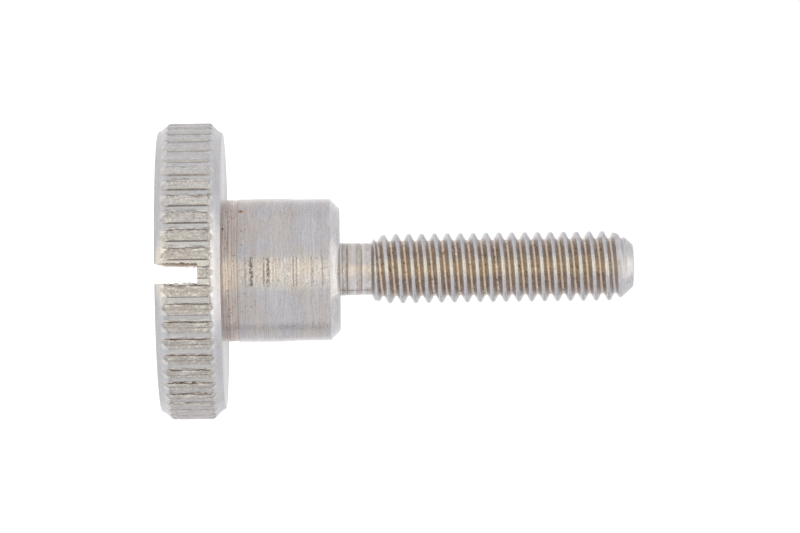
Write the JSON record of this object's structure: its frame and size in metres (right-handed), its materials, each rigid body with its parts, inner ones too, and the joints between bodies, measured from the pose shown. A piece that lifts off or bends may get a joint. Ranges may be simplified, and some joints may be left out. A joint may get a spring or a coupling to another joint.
{
  "type": "thumb screw",
  "caption": "Slotted, straight-knurled steel thumb screw with a turned collar, an undercut neck and a threaded shank with a chamfered point.",
  "frame": {"origin": "on the screw's axis, in the plane of the slotted face of its head, which it stands on", "axes": "+Z along the screw's axis from the slotted face to the point, Y along the screwdriver slot, X across it"},
  "size_m": [0.016, 0.016, 0.0257],
  "materials": {
    "turned_steel": "bare turned steel with fine circular tool marks, a light brown tarnish and small specks of rust"
  },
  "bodies": {
    "root": {"thumb_screw": "turned_steel"}
  },
  "joints": []
}
